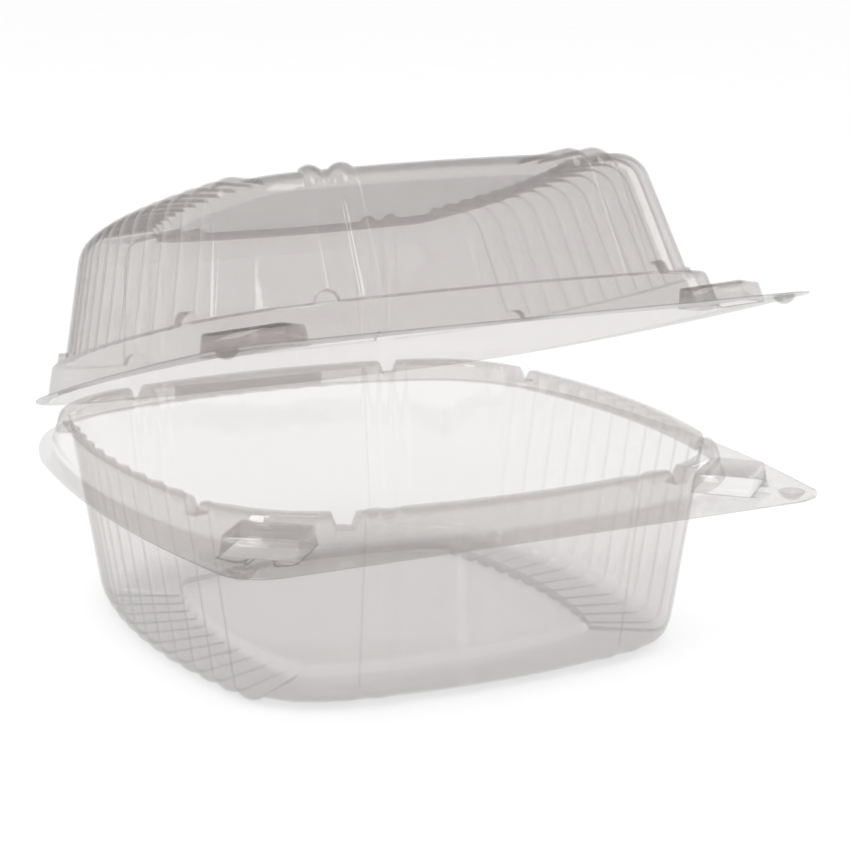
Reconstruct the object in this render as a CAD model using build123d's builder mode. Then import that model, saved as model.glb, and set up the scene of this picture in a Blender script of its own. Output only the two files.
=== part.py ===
from build123d import *
import math
import os

# Hinged clear food clamshell, pressed from one thin plastic sheet.
# All sizes in millimetres.  Front (lock side) is -Y, hinge side is +Y, up is +Z.

# --- sheet and overall sizes -------------------------------------------------
SHEET = 0.3             # wall thickness everywhere
BASE_DEPTH = 38.0       # feet to the top face of the base flange
LID_HEIGHT = 37.2       # underside of the lid flange to the top of the lid
OPEN_ANGLE = 16.5       # how far the lid stands open at rest, degrees

# --- tub walls ---------------------------------------------------------------
SIDE_RADIUS = 165.0     # all four sides bulge on this radius
RIM_HALF_X = 62.8       # tub wall at the ridge top, half width
RIM_HALF_Y = 64.4       # tub wall at the ridge top, half depth
CORNER_R = 27.0         # tub corner at the ridge top
BASE_DRAFT = 8.8        # degrees
BASE_BEND = 5.4         # bottom bend radius, outside
LID_DRAFT = 14.5        # degrees
LID_BEND = 6.5          # top bend radius, outside
DOME_HALF_X = 62.3      # lid wall at the shelf, half width
DOME_HALF_Y = 63.9      # lid wall at the shelf, half depth

# --- ridge, flange -----------------------------------------------------------
RIDGE_H = 6.2           # ridge top above the flange
RIDGE_W = 3.4           # ridge top width beyond the tub wall
RIDGE_DRAFT = 15.0      # outer face of the ridge, degrees
RIDGE_EDGE_R = 0.7
COVER_RISE = 1.8        # room above the base ridge inside the lid's cover
FLANGE_FRONT = 77.5     # front edge of the flange from the tub centre
FLANGE_SIDE = 73.3      # widest half width
FLANGE_NECK = 68.8      # half width where the front tabs end
FLANGE_BACK = 71.8      # back edge at the hinge
TAB_R = 10.0            # corner radius of the two front tabs

# --- flutes and ribs ---------------------------------------------------------
FLUTE_COUNT = 10        # between the notches, plus one beyond each end
NOTCH_SIDE_DEG = 13.53  # notch bearing about the side arc's centre
FLUTE_R = 7.0           # flute radius
FLUTE_PROUD = 1.25      # flute crest beyond the plain wall
FLUTE_RUN = 30.0        # how far flutes reach in under the floor from the rim
RIB_R = 3.2             # radius of the front and back ribs
RIB_PROUD = 1.2
RIB_X = (28.5, 35.5)    # rib centres either side of the middle
WAVE_COUNT = 9          # shallow waves on the ridge beside the hinge
WAVE_R = 9.0
WAVE_PROUD = 0.8

# --- floor and lid panels ----------------------------------------------------
PANEL_HALF_X = 42.0
PANEL_HALF_Y = 42.5
PANEL_SIDE_R = 130.0
PANEL_CORNER_R = 9.0
PANEL_LIFT = 2.0        # push-up of the floor panel, sink of the lid panel

# --- notches, arches, locks --------------------------------------------------
NOTCH_W = 5.0
NOTCH_D = 3.0
NOTCH_FRONT_X = 38.0
NOTCH_BACK_X = 33.3
ARCH_R = 2.5
ARCH_OUT = 2.6          # arch reach beyond the lid wall
LOCK_W = 16.5
LOCK_H = 4.2
LOCK_REACH = 13.0
LOCK_X = 58.2           # middle of the lock's outer face
LOCK_Y = 64.6
LOCK_DEG = 48.0         # bearing of the lock's outer face from the X axis
LOCK_DRAFT = 8.0
DIMPLE_X = 63.5
DIMPLE_Y = 69.0
DIMPLE_R = 2.4
DIMPLE_D = 1.7

# --- fit of lid over base, hinge ---------------------------------------------
FIT_GAP = 0.3           # vertical gap between the closed flanges
SIDE_GAP = 0.5          # gap between the base ridge and the lid cover
HINGE_Y = 73.4          # hinge line from the tub centre
HINGE_RISE = 2.6        # hinge line above the base flange top
HINGE_HALF = 20.0       # half length of the hinge bead
BEAD_GAP = 0.12         # each bead wall stands this far off the hinge plane

FLUTE_STEP = 2.0 * NOTCH_SIDE_DEG / FLUTE_COUNT
RIDGE_TOP = BASE_DEPTH + RIDGE_H
LID_PLANE = BASE_DEPTH + FIT_GAP
STEP_H = RIDGE_H + SHEET + COVER_RISE
LOCK_SLOPE = math.tan(math.radians(LOCK_DRAFT))
DOME_DEPTH = LID_HEIGHT - STEP_H
ROW_Y = (FLANGE_FRONT - (HINGE_Y + BEAD_GAP + SHEET)) / 2.0


def corner_centre(hw, hd, side_r, corner_r):
    """Centre of the corner arc tangent to the side and end arcs, first quadrant."""
    a = side_r - corner_r
    sx = hw - side_r
    fy = hd - side_r
    k = fy * fy - sx * sx
    p = fy / sx
    q = -k / (2.0 * sx)
    qa = p * p + 1.0
    qb = 2.0 * p * (q - sx)
    qc = (q - sx) ** 2 - a * a
    cy = (-qb + math.sqrt(qb * qb - 4.0 * qa * qc)) / (2.0 * qa)
    return p * cy + q, cy


def bulged(hw, hd, side_r, corner_r):
    """Closed bulged square in the XY plane."""
    cx, cy = corner_centre(hw, hd, side_r, corner_r)
    c = Vector(cx, cy)
    u = Vector(cx - (hw - side_r), cy).normalized()
    v = Vector(cx, cy - (hd - side_r)).normalized()
    p = c + u * corner_r
    q = c + v * corner_r
    m = c + (u + v).normalized() * corner_r
    with BuildSketch() as s:
        with BuildLine():
            ThreePointArc((p.X, -p.Y), (hw, 0), (p.X, p.Y))
            ThreePointArc((p.X, p.Y), (m.X, m.Y), (q.X, q.Y))
            ThreePointArc((q.X, q.Y), (0, hd), (-q.X, q.Y))
            ThreePointArc((-q.X, q.Y), (-m.X, m.Y), (-p.X, p.Y))
            ThreePointArc((-p.X, p.Y), (-hw, 0), (-p.X, -p.Y))
            ThreePointArc((-p.X, -p.Y), (-m.X, -m.Y), (-q.X, -q.Y))
            ThreePointArc((-q.X, -q.Y), (0, -hd), (q.X, -q.Y))
            ThreePointArc((q.X, -q.Y), (m.X, -m.Y), (p.X, -p.Y))
        make_face()
    return s.sketch


def frustum(hw, hd, side_r, corner_r, z0, z1, draft):
    """Bulged block whose outline is given at z0 and which narrows towards z1."""
    with BuildPart() as b:
        with BuildSketch(Plane.XY.offset(z0)):
            add(bulged(hw, hd, side_r, corner_r))
        extrude(amount=z1 - z0, taper=draft)
    return b.part


def run(centre, bearing, top, draft, bend, proud, radius, half, shrink, inner, z_top, inside):
    """One flute: down the wall, round the bend and in along the floor.

    centre is the side arc's centre, bearing the direction of the wall there,
    top the height of the rim plane.  The floor's outer face is at z = FLUTE_PROUD."""
    d = math.radians(draft)
    er = Vector(math.cos(bearing), math.sin(bearing), 0)
    et = Vector(math.sin(bearing), -math.cos(bearing), 0)
    zc = FLUTE_PROUD + bend
    rc = SIDE_RADIUS - (top - zc) * math.tan(d) - bend / math.cos(d)
    o = Vector(centre[0], centre[1], 0) + er * rc + Vector(0, 0, zc)
    r = radius - shrink
    crest = bend + proud - shrink
    foot = bend - inside
    edge = bend + proud - radius + math.sqrt(r * r - half * half)
    out = er * math.cos(d) - Vector(0, 0, math.sin(d))
    up = er * math.sin(d) + Vector(0, 0, math.cos(d))
    wall = Plane(origin=o, x_dir=et, z_dir=et.cross(out))
    floor = Plane(origin=o, x_dir=et, z_dir=et.cross(Vector(0, 0, -1)))
    faces = []
    for plane in (wall, floor):
        with BuildSketch(plane) as s:
            with BuildLine():
                Line((-half, foot), (-half, edge))
                ThreePointArc((-half, edge), (0, crest), (half, edge))
                Line((half, edge), (half, foot))
                Line((half, foot), (-half, foot))
            make_face()
        faces.append(s.sketch)
    with BuildPart() as b:
        extrude(faces[0], amount=(z_top - zc) / math.cos(d) + 4.0, dir=up)
        extrude(faces[1], amount=rc - inner, dir=er * -1.0)
        revolve(faces[0], axis=Axis(o, et * -1.0), revolution_arc=90.0 - draft)
    return b.part


def wedge(centre, bearing, width, top, low=0.0, high=0.0):
    """Upright wedge from the side arc's centre, one flute wide, less low and high at its sides."""
    a0 = bearing - width / 2.0 + low
    a1 = bearing + width / 2.0 - high
    p0 = (centre[0], centre[1])
    p1 = (centre[0] + 300 * math.cos(a0), centre[1] + 300 * math.sin(a0))
    p2 = (centre[0] + 300 * math.cos(a1), centre[1] + 300 * math.sin(a1))
    with BuildPart() as b:
        with BuildSketch(Plane.XY.offset(-4)):
            with BuildLine():
                Line(p0, p1)
                Line(p1, p2)
                Line(p2, p0)
            make_face()
        extrude(amount=top + 8)
    return b.part


def dish(hw, hd, top, draft, bend, shrink, z_top):
    """Tub with flutes, ribs and panel: outside when shrink is 0, cavity when it is the sheet."""
    d = math.radians(draft)
    grow = (z_top - top) * math.tan(d) - shrink / math.cos(d)
    step = math.radians(FLUTE_STEP)
    with BuildPart() as b:
        add(frustum(hw + grow, hd + grow, SIDE_RADIUS + grow, CORNER_R + grow,
                    z_top, FLUTE_PROUD + shrink, draft))
        fillet(b.edges().group_by(Axis.Z)[0], bend - shrink)
        for turn in (0.0, math.pi):
            centre = ((hw - SIDE_RADIUS) * math.cos(turn), 0.0)
            for k in range(-1, FLUTE_COUNT + 1):
                low = shrink / 140.0 if k == -1 else 0.0
                high = shrink / 140.0 if k == FLUTE_COUNT else 0.0
                bearing = turn + (k - (FLUTE_COUNT - 1) / 2.0) * step
                with BuildPart(mode=Mode.PRIVATE) as f:
                    add(run(centre, bearing, top, draft, bend, FLUTE_PROUD, FLUTE_R, 4.3,
                            shrink, SIDE_RADIUS - FLUTE_RUN + shrink, z_top, 1.0 + shrink))
                    add(wedge(centre, bearing, step, z_top, low, high), mode=Mode.INTERSECT)
                add(f.part)
        for turn in (-math.pi / 2.0, math.pi / 2.0):
            centre = (0.0, (hd - SIDE_RADIUS) * math.sin(turn))
            for x in (-RIB_X[1], -RIB_X[0], RIB_X[0], RIB_X[1]):
                bearing = turn + math.asin(x / SIDE_RADIUS)
                half = math.sqrt((RIB_R - shrink) ** 2 - (RIB_R - RIB_PROUD - 0.6) ** 2)
                add(run(centre, bearing, top, draft, bend, RIB_PROUD, RIB_R, half,
                        shrink, SIDE_RADIUS - FLUTE_RUN + shrink, z_top, 1.0 + shrink))
        with BuildSketch(Plane.XY.offset(z_top)):
            Rectangle(400, 400)
        extrude(amount=20, mode=Mode.SUBTRACT)
        add(frustum(PANEL_HALF_X + shrink, PANEL_HALF_Y + shrink, PANEL_SIDE_R + shrink,
                    PANEL_CORNER_R + shrink, -2.0, FLUTE_PROUD + PANEL_LIFT + shrink, 25.0),
            mode=Mode.SUBTRACT)
    return b.part


def flange_outline(back_edge):
    """Flange plan, with a straight length at the hinge reaching back_edge."""
    cx = FLANGE_NECK - TAB_R
    cy = FLANGE_FRONT - TAB_R
    t = TAB_R * math.sqrt(0.5)
    with BuildSketch() as s:
        for k in (1, -1):
            with BuildLine():
                Line((0, -FLANGE_FRONT), (k * cx, -FLANGE_FRONT))
                ThreePointArc((k * cx, -FLANGE_FRONT), (k * (cx + t), -cy - t), (k * FLANGE_NECK, -cy))
                ThreePointArc((k * FLANGE_NECK, -cy), (k * FLANGE_SIDE, -9), (k * 70.0, 28))
                ThreePointArc((k * 70.0, 28), (k * 66.2, 41), (k * 61.8, 50.4))
                ThreePointArc((k * 61.8, 50.4), (k * 55.06, 58.86), (k * 46.0, 64.8))
                ThreePointArc((k * 46.0, 64.8), (k * 34.0, 68.7), (k * 21.5, FLANGE_BACK))
                Line((k * 21.5, FLANGE_BACK), (k * HINGE_HALF, FLANGE_BACK))
                Line((k * HINGE_HALF, FLANGE_BACK), (k * HINGE_HALF, back_edge))
                Line((k * HINGE_HALF, back_edge), (0, back_edge))
                Line((0, back_edge), (0, -FLANGE_FRONT))
            make_face()
    return s.sketch


def flange_plate(z, back_edge):
    with BuildPart() as b:
        with BuildSketch(Plane.XY.offset(z)):
            add(flange_outline(back_edge))
        extrude(amount=SHEET)
    return b.part


def ridge(grow, z_foot, z_top, edge_r):
    """Rim ridge block, grow wider than the base ridge, with rounded top edges."""
    side = grow - (z_top - RIDGE_TOP) * math.tan(math.radians(RIDGE_DRAFT))
    w = RIDGE_W + side
    foot = (z_top - z_foot) * math.tan(math.radians(RIDGE_DRAFT))
    with BuildPart() as b:
        add(frustum(RIM_HALF_X + w + foot, RIM_HALF_Y + w + foot, SIDE_RADIUS + w + foot,
                    CORNER_R + w + foot, z_foot, z_top, RIDGE_DRAFT))
        fillet(b.edges().group_by(Axis.Z)[-1], edge_r)
    return b.part


def ridge_waves(grow, z_foot, z_top, shrink):
    """Shallow waves on the back face of the ridge, between the back notches."""
    d = math.radians(RIDGE_DRAFT)
    step = 2.0 * math.asin(NOTCH_BACK_X / SIDE_RADIUS) / WAVE_COUNT
    centre = Vector(0, RIM_HALF_Y - SIDE_RADIUS, 0)
    with BuildPart() as b:
        for k in range(WAVE_COUNT):
            bearing = math.pi / 2.0 + (k - (WAVE_COUNT - 1) / 2.0) * step
            er = Vector(math.cos(bearing), math.sin(bearing), 0)
            et = Vector(math.sin(bearing), -math.cos(bearing), 0)
            rho = SIDE_RADIUS + RIDGE_W + grow + (RIDGE_TOP - z_foot) * math.tan(d)
            o = centre + er * rho + Vector(0, 0, z_foot)
            out = er * math.cos(d) + Vector(0, 0, math.sin(d))
            up = Vector(0, 0, math.cos(d)) - er * math.sin(d)
            r = WAVE_R - shrink
            crest = WAVE_PROUD - shrink
            half = 3.95
            edge = WAVE_PROUD - WAVE_R + math.sqrt(r * r - half * half)
            with BuildSketch(Plane(origin=o, x_dir=et, z_dir=et.cross(out))) as s:
                with BuildLine():
                    Line((-half, -1.2), (-half, edge))
                    ThreePointArc((-half, edge), (0, crest), (half, edge))
                    Line((half, edge), (half, -1.2))
                    Line((half, -1.2), (-half, -1.2))
                make_face()
            with BuildPart(mode=Mode.PRIVATE) as f:
                extrude(s.sketch, amount=(z_top - z_foot) / math.cos(d) + 1.0, dir=up)
                add(wedge((centre.X, centre.Y), bearing, step, z_top), mode=Mode.INTERSECT)
            add(f.part)
        with BuildSketch(Plane.XY.offset(z_top)):
            Rectangle(400, 400)
        extrude(amount=20, mode=Mode.SUBTRACT)
        with BuildSketch(Plane.XY.offset(z_foot)):
            Rectangle(400, 400)
        extrude(amount=-20, mode=Mode.SUBTRACT)
    return b.part


def notch_places():
    """Point on the rim and outward bearing of each of the eight notches."""
    places = []
    a = math.radians(NOTCH_SIDE_DEG)
    for turn in (0.0, math.pi):
        cx = (RIM_HALF_X - SIDE_RADIUS) * math.cos(turn)
        for k in (-1, 1):
            bearing = turn + k * a
            places.append((cx, 0.0, bearing))
    for turn, x in ((-math.pi / 2.0, NOTCH_FRONT_X), (math.pi / 2.0, NOTCH_BACK_X)):
        cy = (RIM_HALF_Y - SIDE_RADIUS) * math.sin(turn)
        for k in (-1, 1):
            bearing = turn + k * math.asin(x / SIDE_RADIUS)
            places.append((0.0, cy, bearing))
    return places


def notches(grow):
    """U notches across the ridge, grow wider and deeper for the underside."""
    with BuildPart() as b:
        for cx, cy, bearing in notch_places():
            er = Vector(math.cos(bearing), math.sin(bearing), 0)
            et = Vector(-math.sin(bearing), math.cos(bearing), 0)
            o = Vector(cx, cy, RIDGE_TOP) + er * (SIDE_RADIUS - 4.0)
            top = NOTCH_W / 2.0 + grow
            low = NOTCH_W / 3.2 + grow
            with BuildSketch(Plane(origin=o, x_dir=et, z_dir=er)):
                with BuildLine():
                    Polyline((-top, 1.5), (-top, 0), (-low, -NOTCH_D - grow),
                             (low, -NOTCH_D - grow), (top, 0), (top, 1.5), close=True)
                make_face()
            extrude(amount=14)
    return b.part


def arches(shrink, z_foot, z_shelf):
    """Half-round arches at the foot of the lid wall, opposite the notches."""
    with BuildPart() as b:
        for cx, cy, bearing in notch_places():
            er = Vector(math.cos(bearing), math.sin(bearing), 0)
            et = Vector(-math.sin(bearing), math.cos(bearing), 0)
            start = SIDE_RADIUS - 4.0
            o = Vector(cx, cy, z_foot) + er * start
            r = ARCH_R - shrink
            rise = z_shelf - z_foot
            with BuildSketch(Plane(origin=o, x_dir=et, z_dir=er)):
                with BuildLine():
                    Line((-r, 0), (-r, rise))
                    ThreePointArc((-r, rise), (0, rise + r), (r, rise))
                    Line((r, rise), (r, 0))
                    Line((r, 0), (-r, 0))
                make_face()
            extrude(amount=4.0 + ARCH_OUT - shrink)
    return b.part


def lock(k, grow, z_foot, height):
    """Lock block at one front corner."""
    a = math.radians(LOCK_DEG)
    er = Vector(k * math.cos(a), -math.sin(a), 0)
    et = Vector(math.sin(a), k * math.cos(a), 0)
    o = Vector(k * LOCK_X, -LOCK_Y, z_foot) - er * (LOCK_REACH / 2.0)
    with BuildPart() as b:
        with BuildSketch(Plane(origin=o, x_dir=et, z_dir=(0, 0, 1))):
            Rectangle(LOCK_W + 2 * grow, LOCK_REACH + 2 * grow)
        extrude(amount=height, taper=LOCK_DRAFT)
        fillet(b.edges().group_by(Axis.Z)[-1], 0.7)
    return b.part


def dimple(k, radius, depth, z_face, shrink):
    """Downward dome below a flange face at z_face."""
    ball = (radius * radius + depth * depth) / (2.0 * depth)
    with BuildPart() as b:
        with Locations((k * DIMPLE_X, -DIMPLE_Y, z_face - depth + ball)):
            Sphere(ball - shrink)
        with BuildSketch(Plane.XY.offset(z_face + SHEET)):
            Rectangle(400, 400)
        extrude(amount=20, mode=Mode.SUBTRACT)
    return b.part


def strip(y0, y1, z0, z1):
    """Straight wall of the hinge bead."""
    with BuildPart() as b:
        with Locations((0, (y0 + y1) / 2.0, (z0 + z1) / 2.0)):
            Box(2 * HINGE_HALF, y1 - y0, z1 - z0)
    return b.part


# --- base tray ---------------------------------------------------------------
tub_outside = dish(RIM_HALF_X, RIM_HALF_Y, RIDGE_TOP, BASE_DRAFT, BASE_BEND, 0.0, RIDGE_TOP)
tub_cavity = dish(RIM_HALF_X, RIM_HALF_Y, RIDGE_TOP, BASE_DRAFT, BASE_BEND, SHEET, RIDGE_TOP + 1.0)
skin = SHEET / math.cos(math.radians(RIDGE_DRAFT))
bead_top = BASE_DEPTH + HINGE_RISE - BEAD_GAP

with BuildPart() as groove:
    add(ridge(-skin, BASE_DEPTH - 2.0, RIDGE_TOP - SHEET, RIDGE_EDGE_R - 0.2))
    add(ridge_waves(0.0, BASE_DEPTH - 2.0, RIDGE_TOP - SHEET, SHEET))
    for k in (1, -1):
        add(lock(k, LOCK_SLOPE * (2.0 - SHEET) - SHEET, BASE_DEPTH - 2.0, LOCK_H - SHEET + 2.0))
        add(dimple(k, DIMPLE_R + 0.5, DIMPLE_D + 0.3, BASE_DEPTH - SHEET, SHEET))
    add(tub_outside, mode=Mode.SUBTRACT)
    add(notches(SHEET), mode=Mode.SUBTRACT)

with BuildPart() as base_tray:
    add(tub_outside)
    add(ridge(0.0, BASE_DEPTH - SHEET, RIDGE_TOP, RIDGE_EDGE_R))
    add(ridge_waves(0.0, BASE_DEPTH - SHEET, RIDGE_TOP, 0.0))
    add(flange_plate(BASE_DEPTH - SHEET, HINGE_Y + BEAD_GAP + SHEET))
    add(strip(HINGE_Y + BEAD_GAP, HINGE_Y + BEAD_GAP + SHEET,
              BASE_DEPTH - SHEET, bead_top))
    for k in (1, -1):
        add(lock(k, 0.0, BASE_DEPTH - SHEET, LOCK_H + SHEET))
        add(dimple(k, DIMPLE_R + 0.5, DIMPLE_D + 0.3, BASE_DEPTH - SHEET, 0.0))
    add(notches(0.0), mode=Mode.SUBTRACT)
    add(tub_cavity, mode=Mode.SUBTRACT)
    add(groove.part, mode=Mode.SUBTRACT)

# --- lid, modelled closed and then swung open --------------------------------
lid_top = LID_PLANE + LID_HEIGHT
shelf = LID_PLANE + STEP_H
dome_outside = dish(DOME_HALF_X, DOME_HALF_Y, DOME_DEPTH, LID_DRAFT, LID_BEND, 0.0, DOME_DEPTH)
dome_cavity = dish(DOME_HALF_X, DOME_HALF_Y, DOME_DEPTH, LID_DRAFT, LID_BEND, SHEET, DOME_DEPTH + 1.0)
half_turn = Location((0, 0, lid_top), (180, 0, 0))

with BuildPart() as hollow:
    add(dome_cavity.moved(half_turn))
    add(ridge(SIDE_GAP, LID_PLANE - 2.0, shelf - SHEET, RIDGE_EDGE_R - 0.2))
    add(ridge_waves(SIDE_GAP + skin, LID_PLANE - 2.0, shelf - SHEET, SHEET))
    add(arches(SHEET, shelf - SHEET - 1.0, shelf))
    for k in (1, -1):
        add(lock(k, SIDE_GAP + LOCK_SLOPE * 2.0, LID_PLANE - 2.0, LOCK_H + 2.0))
        add(dimple(k, DIMPLE_R, DIMPLE_D, LID_PLANE, SHEET))

with BuildPart() as lid:
    add(dome_outside.moved(half_turn))
    add(ridge(SIDE_GAP + skin, LID_PLANE, shelf, RIDGE_EDGE_R))
    add(ridge_waves(SIDE_GAP + skin, LID_PLANE, shelf, 0.0))
    add(arches(0.0, shelf - SHEET, shelf))
    add(flange_plate(LID_PLANE, HINGE_Y - BEAD_GAP))
    add(strip(HINGE_Y - BEAD_GAP - SHEET, HINGE_Y - BEAD_GAP, LID_PLANE, bead_top))
    for k in (1, -1):
        add(lock(k, SIDE_GAP + SHEET, LID_PLANE, LOCK_H + SHEET))
        add(dimple(k, DIMPLE_R, DIMPLE_D, LID_PLANE, 0.0))
    add(hollow.part, mode=Mode.SUBTRACT)

# --- place both in the row frame ---------------------------------------------
hinge_axis = Axis((0, HINGE_Y, BASE_DEPTH + HINGE_RISE), (1, 0, 0))
to_row = Location((0, ROW_Y, 0))
base_row = base_tray.part.moved(to_row)
lid_row = lid.part.rotate(hinge_axis, -OPEN_ANGLE).moved(to_row)
base_row.label = "base_tray"
lid_row.label = "lid"
for shape in (base_row, lid_row):
    box = shape.bounding_box()
    print(shape.label, round(shape.volume, 1), shape.is_valid, len(shape.solids()), box.min, box.max)

os.makedirs("parts", exist_ok=True)
export_step(base_row, "parts/base_tray.step")
export_step(lid_row, "parts/lid.step")
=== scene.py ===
import math

import bmesh
import bpy
from mathutils import Matrix, Vector


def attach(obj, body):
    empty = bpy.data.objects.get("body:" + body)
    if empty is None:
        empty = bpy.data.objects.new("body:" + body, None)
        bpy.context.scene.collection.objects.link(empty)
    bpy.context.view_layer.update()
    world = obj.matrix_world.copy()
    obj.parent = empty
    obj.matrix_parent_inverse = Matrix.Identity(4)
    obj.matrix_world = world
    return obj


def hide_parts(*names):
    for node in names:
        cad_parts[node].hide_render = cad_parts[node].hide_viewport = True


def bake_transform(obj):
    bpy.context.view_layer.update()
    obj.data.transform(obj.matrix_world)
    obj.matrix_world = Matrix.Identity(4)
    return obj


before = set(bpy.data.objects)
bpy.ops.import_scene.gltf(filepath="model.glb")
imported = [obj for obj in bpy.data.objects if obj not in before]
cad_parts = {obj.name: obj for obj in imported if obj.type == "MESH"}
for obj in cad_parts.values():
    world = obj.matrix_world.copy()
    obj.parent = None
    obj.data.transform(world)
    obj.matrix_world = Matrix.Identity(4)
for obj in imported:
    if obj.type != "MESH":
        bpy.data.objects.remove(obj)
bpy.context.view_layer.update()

# Hinged clear food clamshell, pressed from one thin sheet.  The sheet is shaped in
# millimetres about the tub centre, closed, and is placed in the row frame at the end.
# Front (lock side) is -Y, hinge side is +Y, up is +Z.
MM = 0.001
SHEET = 0.3
HALF = SHEET / 2.0

# tub and lid walls
SIDE_RADIUS = 165.0
CORNER_R = 27.0
RIM = (62.8, 64.4)
DOME = (62.3, 63.9)
BASE_DEPTH = 38.0
RIDGE_TOP = 44.2
RIDGE_W = 3.4
BASE_DRAFT = 8.8
LID_DRAFT = 14.5
RIDGE_DRAFT = 15.0
TRAY_BEND = 3.2
LID_BEND = 6.5
LID_PLANE = 38.3
SHELF = 46.6
LID_TOP = 75.5
COVER_W = 3.57

# pressed relief
FLUTE_PROUD = 1.25
FLUTE_R = 7.0
FLUTE_COUNT = 10
NOTCH_SIDE = math.radians(13.53)
RIB_R = 3.2
RIB_PROUD = 1.2
RIB_X = (28.5, 35.5)
WAVE_COUNT = 9
WAVE_R = 9.0
WAVE_PROUD = 0.8
NOTCH_D = 3.0
NOTCH_TOP = 2.5
NOTCH_LOW = 1.56
NOTCH_FRONT_X = 38.0
NOTCH_BACK_X = 33.3
ARCH_R = 2.5
ARCH_OUT = 2.6
PANEL = (42.0, 42.5)
PANEL_SIDE_R = 130.0
PANEL_CORNER_R = 9.0
PANEL_LIFT = 2.0
PANEL_SLOPE = 0.47       # sideways run of the panel's edge for each millimetre of rise
CREASE = 0.3             # rounding between flutes or ribs that meet
WAVE_CREASE = 0.15

# flange, locks, dimples
FLANGE_FRONT = 77.5
FLANGE_SIDE = 73.3
FLANGE_NECK = 68.8
FLANGE_BACK = 71.8
TAB_R = 10.0
LOCK_W = 16.5
LOCK_REACH = 13.0
LOCK_H = 4.2
LOCK_X = 58.2
LOCK_Y = 64.6
LOCK_TURN = math.radians(48.0)
LOCK_TAPER = 0.14
LOCK_GAP = 0.5           # room between the lid's lock and the tray's
LOCK_ROUND = 0.45
DIMPLE_X = 63.5
DIMPLE_Y = 69.0
TRAY_DIMPLE = (2.8, 1.85)    # radius, depth
LID_DIMPLE = (2.3, 1.55)
# arcs of the flange from its neck to the hinge: a place on the arc, its end, its steps
FLANGE_ARCS = (((FLANGE_SIDE, -9.0), (70.0, 28.0), 24), ((66.2, 41.0), (61.8, 50.4), 8),
               ((55.06, 58.86), (46.0, 64.8), 10), ((34.0, 68.7), (21.5, FLANGE_BACK), 10))

# hinge bead
HINGE_Y = 73.4
HINGE_Z = 40.6
HINGE_HALF = 20.0
BEAD_GAP = 0.12
OPEN_TURN = math.radians(16.5)
ROW_Y = 1.84


def corner_middle(hw, hd, side_r, corner_r):
    """Middle of the corner arc that meets both side arcs."""
    reach = side_r - corner_r
    sx = hw - side_r
    fy = hd - side_r
    p = fy / sx
    q = (sx * sx - fy * fy) / (2.0 * sx)
    a = p * p + 1.0
    b = 2.0 * p * (q - sx)
    c = (q - sx) ** 2 - reach * reach
    cy = (-b + math.sqrt(b * b - 4.0 * a * c)) / (2.0 * a)
    return p * cy + q, cy


class Outline:
    """A bulged square, read by the bearing that its edge faces."""

    def __init__(self, hw, hd, side_r, corner_r):
        self.hw, self.hd, self.side_r, self.corner_r = hw, hd, side_r, corner_r
        self.cx, self.cy = corner_middle(hw, hd, side_r, corner_r)
        self.side_end = math.atan2(self.cy, self.cx - (hw - side_r))
        self.front_end = math.atan2(self.cy - (hd - side_r), self.cx)

    def at(self, bearing, out=0.0):
        """Point out from the edge where it faces bearing, for the right-hand half."""
        turn = abs(bearing)
        if turn <= self.side_end:
            mx, my, r = self.hw - self.side_r, 0.0, self.side_r
        elif turn <= self.front_end:
            mx, my, r = self.cx, self.cy, self.corner_r
        else:
            mx, my, r = 0.0, self.hd - self.side_r, self.side_r
        side = 1.0 if bearing > 0 else -1.0
        x = mx + (r + out) * math.cos(turn)
        y = my + (r + out) * math.sin(turn)
        return x, side * y


rim = Outline(*RIM, SIDE_RADIUS, CORNER_R)
dome = Outline(*DOME, SIDE_RADIUS, CORNER_R)

# lengths along the rim from the middle of the front, right-hand half
FRONT_LEN = SIDE_RADIUS * (math.pi / 2.0 - rim.front_end)
CORNER_LEN = CORNER_R * (rim.front_end - rim.side_end)
SIDE_MID = FRONT_LEN + CORNER_LEN + SIDE_RADIUS * rim.side_end
HALF_LEN = 2.0 * SIDE_MID
FLUTE_STEP = SIDE_RADIUS * 2.0 * NOTCH_SIDE / FLUTE_COUNT
WAVE_STEP = 2.0 * SIDE_RADIUS * math.asin(NOTCH_BACK_X / SIDE_RADIUS) / WAVE_COUNT


def on_front(x):
    return SIDE_RADIUS * math.asin(x / SIDE_RADIUS)


def bearing_at(run):
    """Bearing that the rim faces, run millimetres from the middle of the front."""
    back = run > SIDE_MID
    left = HALF_LEN - run if back else run
    if left <= FRONT_LEN:
        turn = math.pi / 2.0 - left / SIDE_RADIUS
    elif left <= FRONT_LEN + CORNER_LEN:
        turn = rim.front_end - (left - FRONT_LEN) / CORNER_R
    else:
        turn = (SIDE_MID - left) / SIDE_RADIUS
    return turn if back else -turn


def joined(a, b, soft):
    """The higher of two heights, with the crease between them rounded."""
    near = max(soft - abs(a - b), 0.0)
    return max(a, b) + near * near / (4.0 * soft)


def crown(away, radius, proud):
    """Height of a round crown, away from its middle."""
    if abs(away) > radius * 0.9:
        return proud - radius
    return proud - radius + math.sqrt(radius * radius - away * away)


flute_runs = [SIDE_MID + (k - (FLUTE_COUNT - 1) / 2.0) * FLUTE_STEP for k in range(-1, FLUTE_COUNT + 1)]
rib_runs = [on_front(x) for x in RIB_X] + [HALF_LEN - on_front(x) for x in RIB_X]
notch_runs = [on_front(NOTCH_FRONT_X), SIDE_MID - SIDE_RADIUS * NOTCH_SIDE,
              SIDE_MID + SIDE_RADIUS * NOTCH_SIDE, HALF_LEN - on_front(NOTCH_BACK_X)]
wave_runs = [HALF_LEN - k * WAVE_STEP for k in range(WAVE_COUNT // 2 + 1)]


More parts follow.
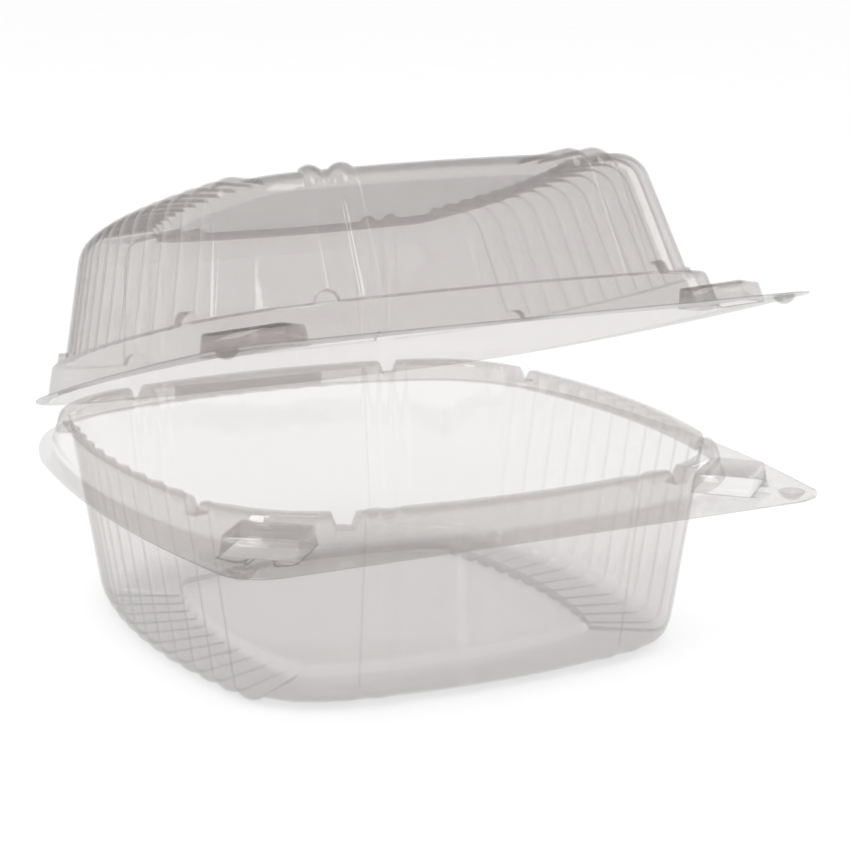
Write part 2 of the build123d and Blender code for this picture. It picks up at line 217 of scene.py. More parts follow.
def relief(run, runs, radius, proud, soft):
    height = 0.0
    for middle in runs:
        if abs(run - middle) < radius:
            height = joined(height, crown(run - middle, radius, proud), soft)
    return height


def notch_share(run):
    """How far down a notch the rim is here, 0 to 1."""
    away = min(abs(run - middle) for middle in notch_runs)
    return min(1.0, max(0.0, (NOTCH_TOP - away) / (NOTCH_TOP - NOTCH_LOW)))


def arch_rise(run):
    away = min(abs(run - middle) for middle in notch_runs)
    return math.sqrt(max(0.0, ARCH_R * ARCH_R - away * away))


class Station:
    """One place along the rim, with the pressed relief there."""

    def __init__(self, run, side):
        self.side = side
        self.bearing = bearing_at(run)
        self.flute = relief(run, flute_runs, FLUTE_R, FLUTE_PROUD, CREASE)
        self.rib = relief(run, rib_runs, RIB_R, RIB_PROUD, CREASE)
        self.wave = relief(run, wave_runs, WAVE_R, WAVE_PROUD, WAVE_CREASE)
        if run < SIDE_MID or HALF_LEN - run > (WAVE_COUNT / 2.0) * WAVE_STEP:
            self.wave = 0.0
        self.notch = notch_share(run)
        self.arch = arch_rise(run)

    def place(self, outline, out, height):
        x, y = outline.at(self.bearing, out)
        return Vector((self.side * x, y, height))


# spacing of the places along the rim
CORNER_SPACING = 0.95
SIDE_SPACING = 2.4
CLOSEST = 0.11


def rim_runs():
    """Places along half the rim, close together where the relief turns."""
    marks = {0.0, HALF_LEN, FRONT_LEN, HALF_LEN - FRONT_LEN}
    for middle in flute_runs:
        for share in (0.0, 0.22, 0.44, 0.64, 0.82, 0.93, 1.0):
            marks |= {middle + share * FLUTE_STEP / 2.0, middle - share * FLUTE_STEP / 2.0}
    for middle in rib_runs:
        for away in (0.0, 0.8, 1.5, 2.1, 2.5, 2.9):
            marks |= {middle + away, middle - away}
    for middle in notch_runs:
        for away in (0.0, 0.85, 1.5, 1.62, 2.05, 2.42, 2.56):
            marks |= {middle + away, middle - away}
    for middle in wave_runs:
        for share in (0.0, 0.4, 0.75, 1.0):
            marks |= {middle + share * WAVE_STEP / 2.0, middle - share * WAVE_STEP / 2.0}
    for x in (HINGE_HALF - 0.1, HINGE_HALF + 0.1, HINGE_HALF + 1.5):
        marks.add(HALF_LEN - SIDE_RADIUS * math.atan(x / (HINGE_Y - RIM[1] + SIDE_RADIUS)))
    runs = []
    for mark in sorted(m for m in marks if 0.0 <= m <= HALF_LEN):
        if runs and mark - runs[-1] < CLOSEST:
            continue
        gap = mark - (runs[-1] if runs else 0.0)
        from_back = HALF_LEN - mark + gap
        corner_end = FRONT_LEN + CORNER_LEN
        corner = FRONT_LEN < mark <= corner_end or FRONT_LEN < from_back <= corner_end
        parts = math.ceil(gap / (CORNER_SPACING if corner else SIDE_SPACING))
        for k in range(1, parts):
            runs.append(mark - gap + gap * k / parts)
        runs.append(mark)
    runs[-1] = HALF_LEN
    return runs


half_runs = rim_runs()
stations = [Station(run, 1.0) for run in half_runs]
stations += [Station(run, -1.0) for run in half_runs[-2:0:-1]]


# --- profile of the sheet, ring by ring ---------------------------------------
def bend_steps(out_mid, height_mid, radius, first, last, steps):
    """Places round a bend with their facing, angles from straight out, up is positive."""
    for k in range(steps + 1):
        turn = math.radians(first + (last - first) * k / steps)
        yield (out_mid + radius * math.cos(turn), height_mid + radius * math.sin(turn),
               math.cos(turn), math.sin(turn))


def wall_ring(outline, out, height, face_out, face_up, flute=1.0, rib=1.0, low=None, high=None):
    """Ring on the tub or lid wall, pushed out along its facing by the flutes and ribs."""
    ring = []
    for st in stations:
        bump = flute * st.flute + rib * st.rib
        z = height + face_up * bump
        if high is not None:
            z = min(z, high - NOTCH_D * st.notch)
        if low is not None:
            z = max(z, low + st.arch)
        ring.append(st.place(outline, out + face_out * bump, z))
    return ring


def panel_ring(shrink, height, flute, up):
    """Ring on the outline of the floor or lid panel; the ribs reach it only on the lid."""
    edge = Outline(PANEL[0] - shrink, PANEL[1] - shrink, PANEL_SIDE_R - shrink, PANEL_CORNER_R - shrink)
    rib = 1.0 if up > 0 else 0.0
    return [st.place(edge, 0.0, height + up * flute * (st.flute + rib * st.rib)) for st in stations]


def between(first, last, share):
    return [a.lerp(b, share) for a, b in zip(first, last)]


def dish_rings(outline, top, draft, corner, deep, up):
    """Panel, floor, bend and wall of a tub of that depth; up is -1 for the tray, 1 for the lid.

    Heights are measured from the rim plane at height top."""
    tan = math.tan(math.radians(draft))
    cos = math.cos(math.radians(draft))
    floor = top + up * (deep - FLUTE_PROUD - HALF)
    bend_z = top + up * (deep - FLUTE_PROUD - corner)
    bend_out = -(deep - FLUTE_PROUD - corner) * tan - corner / cos
    radius = corner - HALF
    rings = []
    lift = floor - up * PANEL_LIFT
    foot = (2.0 + FLUTE_PROUD) * PANEL_SLOPE
    head = foot + PANEL_LIFT * PANEL_SLOPE
    for shrink in (22.0, 11.0, head + 1.6, head + 0.55):
        if PANEL_CORNER_R - shrink > 0.5:
            rings.append(panel_ring(shrink, lift, 0.0, up))
        else:
            rings.append([Vector((p.x * (1 - shrink / 44.0), p.y * (1 - shrink / 44.0), lift))
                          for p in panel_ring(head + 0.5, lift, 0.0, up)])
    rings.append(panel_ring(head + 0.12, lift + up * 0.14, 0.02, up))
    rings.append(panel_ring(head - 0.16, lift + up * 0.5, 0.1, up))
    rings.append(panel_ring(foot + 0.16, floor - up * 0.42, 0.75, up))
    rings.append(panel_ring(foot - 0.12, floor - up * 0.1, 0.93, up))
    start = panel_ring(foot - 0.55, floor, 1.0, up)
    rings.append(start)
    bend = []
    for out, z, face_out, face_up in bend_steps(bend_out, bend_z, radius, up * 90.0, up * draft, 9):
        rib = 1.0 if up > 0 else face_out ** 3
        bend.append(wall_ring(outline, out, z, face_out, face_up, rib=rib))
    rings.append(between(start, bend[0], 0.35))
    rings.append(between(start, bend[0], 0.7))
    rings += bend
    return rings, tan, cos


def tray_rings():
    rings, tan, cos = dish_rings(rim, RIDGE_TOP, BASE_DRAFT, TRAY_BEND, RIDGE_TOP, -1.0)
    slope = math.radians(BASE_DRAFT)
    crown_z = RIDGE_TOP - HALF

    def wall(z):
        return wall_ring(rim, -(RIDGE_TOP - z) * tan - HALF / cos, z, math.cos(slope),
                         -math.sin(slope), high=crown_z)

    rings += [wall(z) for z in (13.0, 19.0, 25.0, 31.0, 36.0, 39.0, 40.7, 41.1, 41.9, 42.8, 43.35)]
    for out, height, share in ((-0.1, 43.72, 1.0), (0.06, 43.95, 0.95), (0.4, crown_z, 0.8),
                               (1.3, crown_z, 0.2), (2.2, crown_z, 0.0), (2.85, crown_z, 0.0)):
        rings.append(wall_ring(rim, out, height, 1.0, 0.0, share, share, high=crown_z))
    lean = math.tan(math.radians(RIDGE_DRAFT))

    def outer(z, more=0.0):
        out = RIDGE_W + (RIDGE_TOP - z) * lean - HALF / math.cos(math.radians(RIDGE_DRAFT)) + more
        ring = []
        for st in stations:
            out_here = out + st.wave * min(1.0, (RIDGE_TOP - z) / 0.8)
            ring.append(st.place(rim, out_here, min(z, crown_z - NOTCH_D * st.notch)))
        return ring

    rings += [outer(z, more) for z, more in
              ((43.95, -0.22), (43.7, -0.06), (43.3, 0.0), (42.2, 0.0), (41.15, 0.0), (40.0, 0.0),
               (38.8, 0.0), (38.25, 0.05), (37.95, 0.22), (BASE_DEPTH - HALF, 0.55))]
    return rings


def lid_rings():
    deep = LID_TOP - SHELF
    rings, tan, cos = dish_rings(dome, SHELF, LID_DRAFT, LID_BEND, deep, 1.0)
    slope = math.radians(LID_DRAFT)
    shelf = SHELF - HALF

    def wall(z):
        return wall_ring(dome, -(z - SHELF) * tan - HALF / cos, z, math.cos(slope),
                         math.sin(slope), low=shelf)

    rings += [wall(z) for z in (65.5, 61.0, 56.5, 52.0, 49.4, 48.4, 47.6, 47.0, 46.7)]
    for out, share in ((0.25, 0.8), (0.9, 0.3), (1.8, 0.0), (ARCH_OUT - 0.1, 0.0)):
        ring = []
        for st in stations:
            bump = share * (st.flute + st.rib)
            ring.append(st.place(dome, out + bump, shelf + st.arch))
        rings.append(ring)
    lean = math.tan(math.radians(RIDGE_DRAFT))
    rings.append([st.place(dome, ARCH_OUT + 0.12, shelf + 0.5 * st.arch) for st in stations])
    rings.append([st.place(dome, ARCH_OUT + 0.2, shelf) for st in stations])
    rings.append([st.place(rim, COVER_W - 0.65, shelf) for st in stations])

    def outer(z, more=0.0):
        out = COVER_W + (SHELF - z) * lean - HALF / math.cos(math.radians(RIDGE_DRAFT)) + more
        return [st.place(rim, out + st.wave * min(1.0, (SHELF - z) / 0.8), z) for st in stations]

    rings += [outer(z, more) for z, more in
              ((46.35, -0.22), (46.1, -0.06), (45.7, 0.0), (43.0, 0.0), (40.8, 0.0),
               (39.3, 0.0), (38.85, 0.05), (38.55, 0.22), (LID_PLANE + HALF, 0.55))]
    return rings


# --- flange -------------------------------------------------------------------
def arc_through(a, m, b, steps):
    """Points on the circle through three points, from a to b."""
    ax, ay = a
    mx, my = m
    bx, by = b
    d = 2.0 * (ax * (my - by) + mx * (by - ay) + bx * (ay - my))
    sa, sm, sb = ax * ax + ay * ay, mx * mx + my * my, bx * bx + by * by
    cx = (sa * (my - by) + sm * (by - ay) + sb * (ay - my)) / d
    cy = (sa * (bx - mx) + sm * (ax - bx) + sb * (mx - ax)) / d
    r = math.hypot(ax - cx, ay - cy)
    first = math.atan2(ay - cy, ax - cx)
    sweep = (math.atan2(by - cy, bx - cx) - first + math.pi) % (2.0 * math.pi) - math.pi
    return [(cx + r * math.cos(first + sweep * k / steps), cy + r * math.sin(first + sweep * k / steps))
            for k in range(1, steps + 1)]


def flange_edge(back):
    """Right-hand half of the flange's outline, from the front to the hinge edge."""
    neck = FLANGE_FRONT - TAB_R
    tab = FLANGE_NECK - TAB_R
    t = TAB_R * math.sqrt(0.5)
    edge = [(-5.0, -FLANGE_FRONT), (tab, -FLANGE_FRONT)]
    edge += arc_through(edge[-1], (tab + t, -neck - t), (FLANGE_NECK, -neck), 16)
    for through, end, steps in FLANGE_ARCS:
        edge += arc_through(edge[-1], through, end, steps)
    return edge + [(HINGE_HALF, FLANGE_BACK), (HINGE_HALF, back), (-5.0, back)]


def reach_edge(edge, x, y, bearing):
    """Where a line out from x, y meets the flange's outline."""
    dx, dy = math.cos(bearing), math.sin(bearing)
    best = None
    for (ax, ay), (bx, by) in zip(edge, edge[1:]):
        ex, ey = bx - ax, by - ay
        cross = dx * ey - dy * ex
        if abs(cross) < 1e-9:
            continue
        far = ((ax - x) * ey - (ay - y) * ex) / cross
        along = ((ax - x) * dy - (ay - y) * dx) / cross
        if far > 0.0 and -1e-6 <= along <= 1.000001 and (best is None or far < best):
            best = far
    return x + dx * best, y + dy * best


def flange_rings(foot, height, back):
    edge = flange_edge(back)
    rim_ring = []
    for st, point in zip(stations, foot):
        x, y = reach_edge(edge, abs(point.x), point.y, st.bearing)
        rim_ring.append(Vector((st.side * x, y, height)))
    return [between(foot, rim_ring, share) for share in (0.12, 0.4, 0.7, 0.93, 1.0)]


# --- making the sheet -----------------------------------------------------------
def press_rings(bm, rings):
    """Draws the sheet out ring by ring from a filled middle."""
    made = bmesh.ops.create_circle(bm, cap_ends=True, segments=len(stations), radius=1.0)
    place = {}
    for k, vert in enumerate(made["verts"]):
        vert.co = rings[0][k]
        place[vert] = k
    edges = [e for e in bm.edges if e.verts[0] in place and e.verts[1] in place]
    for ring in rings[1:]:
        drawn = bmesh.ops.extrude_edge_only(bm, edges=edges)["geom"]
        fresh = {v for v in drawn if isinstance(v, bmesh.types.BMVert)}
        moved = {}
        for vert in fresh:
            for edge in vert.link_edges:
                other = edge.other_vert(vert)
                if other in place:
                    moved[vert] = place[other]
        for vert, k in moved.items():
            vert.co = ring[k]
        edges = [e for e in drawn if isinstance(e, bmesh.types.BMEdge)
                 and e.verts[0] in fresh and e.verts[1] in fresh]
        place = moved


def clear_under(bm, mid, turn, wide, deep, foot):
    """Open the flange under a lock, so the lock is the only sheet there."""
    across = Vector((-math.sin(turn), math.cos(turn), 0.0))
    outward = Vector((math.cos(turn), math.sin(turn), 0.0))

    def on_flange(reach):
        found = []
        for face in bm.faces:
            off = face.calc_center_median() - mid
            beside = abs(off.dot(across)) < wide + reach
            beyond = abs(off.dot(outward)) < deep + reach
            if abs(off.z - foot) < 0.1 and beside and beyond:
                found.append(face)
        return found

    for way, half in ((across, wide), (outward, deep)):
        for end in (1.0, -1.0):
            faces = on_flange(9.0)
            geom = faces + list({e for f in faces for e in f.edges})
            geom += list({v for f in faces for v in f.verts})
            bmesh.ops.bisect_plane(bm, geom=geom, dist=0.0001, plane_co=mid + way * (end * half),
                                   plane_no=way)
    bmesh.ops.delete(bm, geom=on_flange(-0.02), context="FACES")


def press_lock(bm, side, grow, foot, height):
    """Raised lock block on one front tab."""
    turn = -LOCK_TURN if side > 0 else math.pi + LOCK_TURN
    mid = Vector((side * (LOCK_X - LOCK_REACH / 2.0 * math.cos(LOCK_TURN)),
                  -(LOCK_Y - LOCK_REACH / 2.0 * math.sin(LOCK_TURN)), 0.0))
    clear_under(bm, mid, turn, LOCK_W / 2.0 + grow, LOCK_REACH / 2.0 + grow, foot)
    block = bmesh.ops.create_cube(bm, size=1.0)["verts"]
    top = [v for v in block if v.co.z > 0]
    for vert in block:
        drop = height * LOCK_TAPER if vert in top else 0.0
        wide = LOCK_W / 2.0 + grow - drop
        deep = LOCK_REACH / 2.0 + grow - drop
        vert.co = Vector((math.copysign(deep, vert.co.x), math.copysign(wide, vert.co.y),
                          foot + (height if vert in top else 0.0)))
    under = [f for f in bm.faces
             if all(v in block for v in f.verts) and not any(v in top for v in f.verts)]
    bmesh.ops.delete(bm, geom=under, context="FACES_ONLY")
    sharp = [e for e in bm.edges
             if all(v in block for v in e.verts) and any(v in top for v in e.verts)]
    bevelled = bmesh.ops.bevel(bm, geom=sharp, offset=LOCK_ROUND, affect="EDGES", segments=3,
                               profile=0.5, material=-1)
    verts = list({v for v in block if v.is_valid} | set(bevelled["verts"]))
    bmesh.ops.rotate(bm, verts=verts, cent=(0, 0, 0), matrix=Matrix.Rotation(turn, 3, "Z"))
    bmesh.ops.translate(bm, verts=verts, vec=mid)


def press_dimple(bm, side, radius, depth, face):
    """Round dimple pressed down into a front tab."""
    ball = (radius * radius + depth * depth) / (2.0 * depth)
    cap = bmesh.ops.create_uvsphere(bm, u_segments=32, v_segments=48, radius=ball)["verts"]
    geom = list(cap) + list({e for v in cap for e in v.link_edges})
    geom += list({f for v in cap for f in v.link_faces})
    bmesh.ops.bisect_plane(bm, geom=geom, plane_co=(0, 0, depth - ball), plane_no=(0, 0, 1),
                           clear_outer=True)
    cap = [v for v in bm.verts if v.is_valid and v.co.length <= ball + 0.01 and abs(v.co.x) < 20]
    bmesh.ops.translate(bm, verts=cap, vec=(side * DIMPLE_X, -DIMPLE_Y, face + ball - depth))


def pressed_sheet(name, bm, material):
    """Object of the sheet's middle surface, given its thickness."""
    bmesh.ops.scale(bm, verts=bm.verts, vec=(MM, MM, MM))
    bmesh.ops.recalc_face_normals(bm, faces=bm.faces)
    mesh = bpy.data.meshes.new(name)
    bm.to_mesh(mesh)
    bm.free()
    mesh.materials.append(material)
    mesh.shade_smooth()
    mesh.set_sharp_from_angle(angle=math.radians(48.0))
    piece = bpy.data.objects.new(name, mesh)
    bpy.context.scene.collection.objects.link(piece)
    wall = piece.modifiers.new("sheet thickness", "SOLIDIFY")
    wall.thickness = SHEET * MM
    wall.offset = 0.0
    wall.use_even_offset = False
    return piece


def make_tray(material):
    bm = bmesh.new()
    rings = tray_rings()
    rings += flange_rings(rings[-1], BASE_DEPTH - HALF, HINGE_Y + BEAD_GAP + HALF)
    press_rings(bm, rings)
    for side in (1.0, -1.0):
        press_lock(bm, side, -HALF, BASE_DEPTH - HALF, LOCK_H)
        press_dimple(bm, side, *TRAY_DIMPLE, BASE_DEPTH - HALF)
    bmesh.ops.translate(bm, verts=bm.verts, vec=(0, ROW_Y, 0))
    return pressed_sheet("tray_sheet", bm, material)


def make_lid(material):
    bm = bmesh.new()
    rings = lid_rings()
    rings += flange_rings(rings[-1], LID_PLANE + HALF, HINGE_Y - BEAD_GAP - HALF)
    press_rings(bm, rings)
    for side in (1.0, -1.0):
        press_lock(bm, side, LOCK_GAP + HALF, LID_PLANE + HALF, LOCK_H)
        press_dimple(bm, side, *LID_DIMPLE, LID_PLANE + HALF)
    swing_open(bm)
    bmesh.ops.translate(bm, verts=bm.verts, vec=(0, ROW_Y, 0))
    return pressed_sheet("lid_sheet", bm, material)


def swing_open(bm):
    bmesh.ops.rotate(bm, verts=list(bm.verts), cent=(0, HINGE_Y, HINGE_Z),
                     matrix=Matrix.Rotation(-OPEN_TURN, 3, "X"))


def make_hinge(material):
    """Folded bead that joins the two back edges: up from the tray, over, and down to the lid."""
    bm = bmesh.new()
    tray_y = HINGE_Y + BEAD_GAP + HALF
    lid_y = HINGE_Y - BEAD_GAP - HALF
    lid_side = []
    for y, z in ((lid_y, LID_PLANE + HALF), (lid_y, 39.1), (lid_y, 39.8), (lid_y, 40.35)):
        dy, dz = y - HINGE_Y, z - HINGE_Z
        lid_side.append((HINGE_Y + math.cos(OPEN_TURN) * dy + math.sin(OPEN_TURN) * dz,
                         HINGE_Z - math.sin(OPEN_TURN) * dy + math.cos(OPEN_TURN) * dz))
    fold = [(tray_y, 40.3), (tray_y - 0.05, 40.5), (tray_y - 0.18, 40.64), (HINGE_Y, 40.7),
            (HINGE_Y - 0.16, 40.64)]
    path = [(tray_y, BASE_DEPTH - HALF), (tray_y, 38.7), (tray_y, 39.5)] + fold + lid_side[::-1]
    last = None
    for y, z in path:
        if last is None:
            verts = [bm.verts.new((HINGE_HALF * (j / 12.0 - 1.0), y, z)) for j in range(25)]
            last = [bm.edges.new(pair) for pair in zip(verts, verts[1:])]
            continue
        drawn = bmesh.ops.extrude_edge_only(bm, edges=last)["geom"]
        fresh = [v for v in drawn if isinstance(v, bmesh.types.BMVert)]
        for vert in fresh:
            vert.co.y, vert.co.z = y, z
        last = [e for e in drawn if isinstance(e, bmesh.types.BMEdge)
                and e.verts[0] in fresh and e.verts[1] in fresh]
    bmesh.ops.translate(bm, verts=bm.verts, vec=(0, ROW_Y, 0))
    return pressed_sheet("hinge_fold", bm, material)


# --- finishes -------------------------------------------------------------------
def sheet_texture():
    """Ripple, draw lines and haze of pressed clear sheet, one group for every piece."""
    group = bpy.data.node_groups.new("pressed sheet surface", "ShaderNodeTree")
    for name, value in (("Ripple Size", 60.0), ("Draw Size", 420.0), ("Gloss", 0.05), ("Haze", 0.08)):
        socket = group.interface.new_socket(name, in_out="INPUT", socket_type="NodeSocketFloat")
        socket.default_value = value
    group.interface.new_socket("Height", in_out="OUTPUT", socket_type="NodeSocketFloat")
    group.interface.new_socket("Roughness", in_out="OUTPUT", socket_type="NodeSocketFloat")
    nodes, links = group.nodes, group.links
    given = nodes.new("NodeGroupInput")
    out = nodes.new("NodeGroupOutput")
    where = nodes.new("ShaderNodeTexCoord")
    ripple = nodes.new("ShaderNodeTexNoise")
    ripple.inputs["Detail"].default_value = 2.0
    links.new(where.outputs["Object"], ripple.inputs["Vector"])
    links.new(given.outputs["Ripple Size"], ripple.inputs["Scale"])
    stretch = nodes.new("ShaderNodeMapping")
    stretch.inputs["Scale"].default_value = (1.0, 1.0, 0.12)
    draw = nodes.new("ShaderNodeTexNoise")
    draw.inputs["Detail"].default_value = 3.0
    links.new(where.outputs["Object"], stretch.inputs["Vector"])
    links.new(stretch.outputs["Vector"], draw.inputs["Vector"])
    links.new(given.outputs["Draw Size"], draw.inputs["Scale"])
    fine = nodes.new("ShaderNodeMath")
    fine.operation = "MULTIPLY"
    fine.inputs[1].default_value = 0.18
    links.new(draw.outputs["Fac"], fine.inputs[0])
    both = nodes.new("ShaderNodeMath")
    both.operation = "ADD"
    links.new(ripple.outputs["Fac"], both.inputs[0])
    links.new(fine.outputs["Value"], both.inputs[1])
    links.new(both.outputs["Value"], out.inputs["Height"])
    rough = nodes.new("ShaderNodeMapRange")
    rough.inputs["From Min"].default_value = 0.35
    rough.inputs["From Max"].default_value = 0.7
    links.new(draw.outputs["Fac"], rough.inputs["Value"])
    links.new(given.outputs["Gloss"], rough.inputs["To Min"])
    links.new(given.outputs["Haze"], rough.inputs["To Max"])
    links.new(rough.outputs["Result"], out.inputs["Roughness"])
    return group


def clear_sheet(name, texture, body, edge, ripple, bump, shine):
    """Clear pressed sheet: see-through face on, darker edge on, glossy on both sides.

    Light that falls through it is dimmed little, and more near the floor it stands on, which paints a
    darker contact shadow under the foot."""
    material = bpy.data.materials.new(name)
    material.use_nodes = True
    nodes, links = material.node_tree.nodes, material.node_tree.links
    nodes.clear()
    surface = nodes.new("ShaderNodeGroup")
    surface.node_tree = texture
    surface.inputs["Ripple Size"].default_value = ripple
    relief_bump = nodes.new("ShaderNodeBump")
    relief_bump.inputs["Strength"].default_value = bump
    relief_bump.inputs["Distance"].default_value = 0.0006
    links.new(surface.outputs["Height"], relief_bump.inputs["Height"])
    facing = nodes.new("ShaderNodeLayerWeight")
    facing.inputs["Blend"].default_value = 0.5
    links.new(relief_bump.outputs["Normal"], facing.inputs["Normal"])
    depth = nodes.new("ShaderNodeValToRGB")
    ramp = depth.color_ramp
    ramp.elements[0].position, ramp.elements[0].color = 0.0, (*body, 1.0)
    ramp.elements[1].position, ramp.elements[1].color = 1.0, (*edge, 1.0)
    middle = ramp.elements.new(0.80)
    middle.color = tuple(c * 0.985 for c in body) + (1.0,)
    late = ramp.elements.new(0.93)
    late.color = tuple(0.75 * a + 0.25 * b for a, b in zip(body, edge)) + (1.0,)
    links.new(facing.outputs["Facing"], depth.inputs["Fac"])
    through = nodes.new("ShaderNodeBsdfTransparent")
    path = nodes.new("ShaderNodeLightPath")
    lighting = nodes.new("ShaderNodeMath")
    lighting.operation = "MAXIMUM"
    links.new(path.outputs["Is Shadow Ray"], lighting.inputs[0])
    links.new(path.outputs["Is Diffuse Ray"], lighting.inputs[1])
    tint = nodes.new("ShaderNodeMixRGB")
    # Painted contact shadow: below about 2.4 mm object height, shadow and diffuse rays through the
    # sheet are tinted 0.91 instead of 0.99, so the foot throws a darker shade on the floor.
    place = nodes.new("ShaderNodeTexCoord")
    split = nodes.new("ShaderNodeSeparateXYZ")
    links.new(place.outputs["Object"], split.inputs["Vector"])
    foot = nodes.new("ShaderNodeMapRange")
    foot.inputs["From Min"].default_value = 0.0024
    foot.inputs["From Max"].default_value = 0.0032
    foot.inputs["To Min"].default_value = 0.91
    foot.inputs["To Max"].default_value = 0.99
    links.new(split.outputs["Z"], foot.inputs["Value"])
    links.new(foot.outputs["Result"], tint.inputs["Color2"])
    links.new(lighting.outputs["Value"], tint.inputs["Fac"])
    links.new(depth.outputs["Color"], tint.inputs["Color1"])
    links.new(tint.outputs["Color"], through.inputs["Color"])
    fifth = nodes.new("ShaderNodeMath")
    fifth.operation = "POWER"
    fifth.inputs[1].default_value = 5.0
    links.new(facing.outputs["Facing"], fifth.inputs[0])
    share = nodes.new("ShaderNodeMath")
    share.operation = "MULTIPLY_ADD"
    share.inputs[1].default_value = 0.45
    share.inputs[2].default_value = shine
    links.new(fifth.outputs["Value"], share.inputs[0])
    gloss = nodes.new("ShaderNodeBsdfPrincipled")
    gloss.inputs["Base Color"].default_value = (0.95, 0.955, 0.955, 1.0)
    gloss.inputs["Metallic"].default_value = 1.0
    links.new(surface.outputs["Roughness"], gloss.inputs["Roughness"])
    links.new(relief_bump.outputs["Normal"], gloss.inputs["Normal"])
    mix = nodes.new("ShaderNodeMixShader")
    links.new(share.outputs["Value"], mix.inputs["Fac"])
    links.new(through.outputs["BSDF"], mix.inputs[1])
    links.new(gloss.outputs["BSDF"], mix.inputs[2])
    out = nodes.new("ShaderNodeOutputMaterial")
    links.new(mix.outputs["Shader"], out.inputs["Surface"])
    return material


def floor_finish():
    material = bpy.data.materials.new("pale floor")
    material.use_nodes = True
    nodes, links = material.node_tree.nodes, material.node_tree.links
    paint = nodes["Principled BSDF"]
    paint.inputs["Roughness"].default_value = 0.9
    paint.inputs["Specular IOR Level"].default_value = 0.0
    where = nodes.new("ShaderNodeTexCoord")
    grain = nodes.new("ShaderNodeTexNoise")
    grain.inputs["Scale"].default_value = 30.0
    tone = nodes.new("ShaderNodeValToRGB")
    tone.color_ramp.elements[0].color = (0.93, 0.93, 0.93, 1.0)
    tone.color_ramp.elements[1].color = (0.95, 0.95, 0.95, 1.0)
    links.new(where.outputs["Object"], grain.inputs["Vector"])
    links.new(grain.outputs["Fac"], tone.inputs["Fac"])
    links.new(tone.outputs["Color"], paint.inputs["Base Color"])
    return material


# --- studio -----------------------------------------------------------------------
def make_floor():
    bm = bmesh.new()
    bmesh.ops.create_grid(bm, x_segments=4, y_segments=4, size=14.0)
    mesh = bpy.data.meshes.new("floor")
    bm.to_mesh(mesh)
    bm.free()
    mesh.materials.append(floor_finish())
    floor = bpy.data.objects.new("floor", mesh)
    bpy.context.scene.collection.objects.link(floor)


def soft_box(name, place, target, wide, tall, power):
    light = bpy.data.lights.new(name, "AREA")
    light.shape = "RECTANGLE"
    light.size, light.size_y, light.energy = wide, tall, power
    lamp = bpy.data.objects.new(name, light)
    lamp.location = place
    lamp.rotation_euler = (Vector(target) - Vector(place)).to_track_quat("-Z", "Y").to_euler()
    bpy.context.scene.collection.objects.link(lamp)


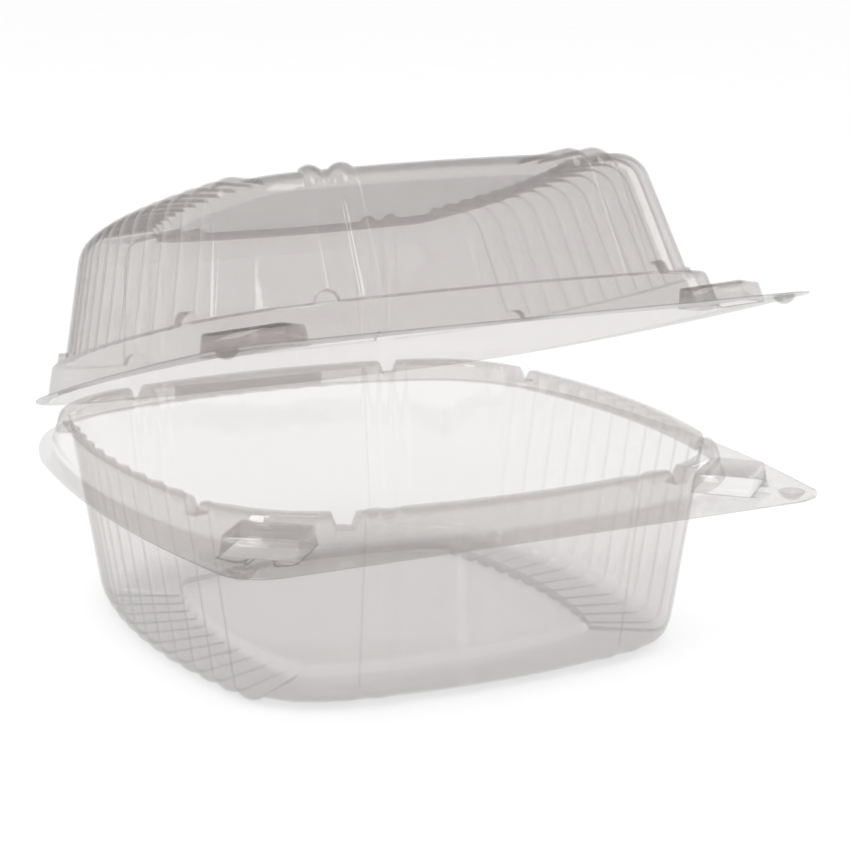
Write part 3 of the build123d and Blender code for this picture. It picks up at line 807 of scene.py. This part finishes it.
def make_studio():
    world = bpy.data.worlds.new("studio")
    bpy.context.scene.world = world
    world.use_nodes = True
    nodes, links = world.node_tree.nodes, world.node_tree.links
    nodes.clear()
    out = nodes.new("ShaderNodeOutputWorld")
    # white room, which reflections see as darker overhead
    walls = nodes.new("ShaderNodeBackground")
    walls.inputs["Color"].default_value = (1.0, 1.0, 1.0, 1.0)
    walls.inputs["Strength"].default_value = 1.04
    where = nodes.new("ShaderNodeTexCoord")
    split = nodes.new("ShaderNodeSeparateXYZ")
    links.new(where.outputs["Generated"], split.inputs["Vector"])
    height = nodes.new("ShaderNodeValToRGB")
    low, high = height.color_ramp.elements
    low.position, low.color = 0.12, (0.98, 0.98, 0.98, 1.0)
    high.position, high.color = 0.5, (0.42, 0.42, 0.42, 1.0)
    links.new(split.outputs["Z"], height.inputs["Fac"])
    room = nodes.new("ShaderNodeBackground")
    links.new(height.outputs["Color"], room.inputs["Color"])
    ray = nodes.new("ShaderNodeLightPath")
    mix = nodes.new("ShaderNodeMixShader")
    links.new(ray.outputs["Is Glossy Ray"], mix.inputs["Fac"])
    links.new(walls.outputs["Background"], mix.inputs[1])
    links.new(room.outputs["Background"], mix.inputs[2])
    links.new(mix.outputs["Shader"], out.inputs["Surface"])
    soft_box("top soft box", (-0.25, -0.15, 1.1), (0, 0, 0.03), 0.5, 0.4, 1.3)
    soft_box("left soft box", (-0.9, -0.35, 0.5), (0, 0, 0.04), 0.2, 0.5, 0.8)
    soft_box("right soft box", (0.9, 0.1, 0.45), (0, 0, 0.05), 0.2, 0.5, 0.6)


CAMERA_ROLL = 0.19       # degrees


def make_camera():
    """Camera low in front of the left front corner."""
    camera_data = bpy.data.cameras.new("camera")
    camera_data.lens = 100.46
    camera_data.sensor_width = 36.0
    camera = bpy.data.objects.new("camera", camera_data)
    place = Vector((-0.2319, -0.46256, 0.1681))
    aim = Vector((0.02159, 0.0209, 0.038))
    look = (aim - place).to_track_quat("-Z", "Y").to_matrix()
    turned = look @ Matrix.Rotation(math.radians(CAMERA_ROLL), 3, "Z")
    camera.matrix_world = Matrix.Translation(place) @ turned.to_4x4()
    bpy.context.scene.collection.objects.link(camera)
    bpy.context.scene.camera = camera


make_camera()
make_floor()
make_studio()
bpy.context.scene.view_settings.view_transform = "Standard"
bpy.context.scene.cycles.transparent_max_bounces = 64

texture = sheet_texture()
tray_clear = clear_sheet("clear tray sheet", texture, body=(0.920, 0.911, 0.908),
                         edge=(0.32, 0.315, 0.31), ripple=55.0, bump=0.25, shine=0.085)
lid_clear = clear_sheet("clear lid sheet", texture, body=(0.880, 0.869, 0.866),
                        edge=(0.30, 0.295, 0.29), ripple=48.0, bump=0.25, shine=0.045)
fold_clear = clear_sheet("clear hinge fold", texture, body=(0.91, 0.90, 0.897),
                         edge=(0.28, 0.275, 0.27), ripple=90.0, bump=0.3, shine=0.07)

tray_sheet = make_tray(tray_clear)
lid_sheet = make_lid(lid_clear)
hinge_fold = make_hinge(fold_clear)
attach(tray_sheet, "tray")
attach(lid_sheet, "lid")
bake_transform(hinge_fold)
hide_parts("base_tray")
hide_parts("lid")
for node, finish in (("base_tray", tray_clear), ("lid", lid_clear)):
    node_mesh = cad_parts[node].data
    node_mesh.materials.clear()
    node_mesh.materials.append(finish)
